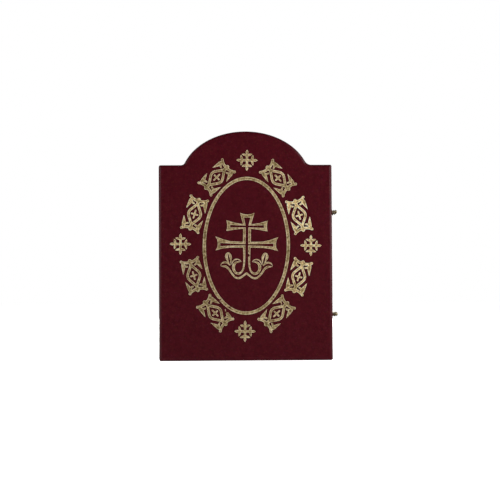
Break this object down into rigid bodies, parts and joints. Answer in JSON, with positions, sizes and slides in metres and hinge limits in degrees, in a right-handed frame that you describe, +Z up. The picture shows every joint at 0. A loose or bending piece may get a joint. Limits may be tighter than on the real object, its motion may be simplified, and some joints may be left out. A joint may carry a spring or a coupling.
{
  "type": "diptych icon",
  "caption": "Folding arch-topped icon: leatherette-covered leaves joined by a spine, held shut by small brass hooks, with a painted panel inside each leaf.",
  "frame": {"origin": "on the surface the closed icon stands on, under the middle of its box, hooks included", "axes": "+Z up, from the base to the crown of the arch; the front cover faces -Y; the spine is on the -X side and the hooks are on the +X side"},
  "size_m": [0.1324, 0.0206, 0.17],
  "materials": {
    "leatherette": "burgundy grained leatherette over board, soft sheen",
    "gold_foil": "gold hot-stamped foil, speckled by the grain",
    "icon_print": "varnished painting in gold and broad colours on thin board",
    "brass": "aged brass, dull"
  },
  "bodies": {
    "back": {"back_leaf": "leatherette", "back_icon": "icon_print", "spine_strip": "leatherette", "upper_catch_nail": "brass", "lower_catch_nail": "brass"},
    "front": {"front_leaf": "leatherette", "front_icon": "icon_print", "upper_pivot_nail": "brass", "lower_pivot_nail": "brass"},
    "upper_latch": {"upper_hook": "brass"},
    "lower_latch": {"lower_hook": "brass"}
  },
  "joints": [
    {"name": "leaf_hinge", "type": "hinge", "parent": "back", "child": "front", "pos_m": [-0.06625, 0, 0.0725], "axis": [0, 0, -1], "range_deg": [0, 180], "deforming": ["spine_strip"]},
    {"name": "upper_hook_pivot", "type": "hinge", "parent": "front", "child": "upper_latch", "pos_m": [0.0634, -0.0053, 0.11], "axis": [1, 0, 0], "range_deg": [0, 110]},
    {"name": "lower_hook_pivot", "type": "hinge", "parent": "front", "child": "lower_latch", "pos_m": [0.0634, -0.0053, 0.034], "axis": [1, 0, 0], "range_deg": [0, 110]}
  ]
}
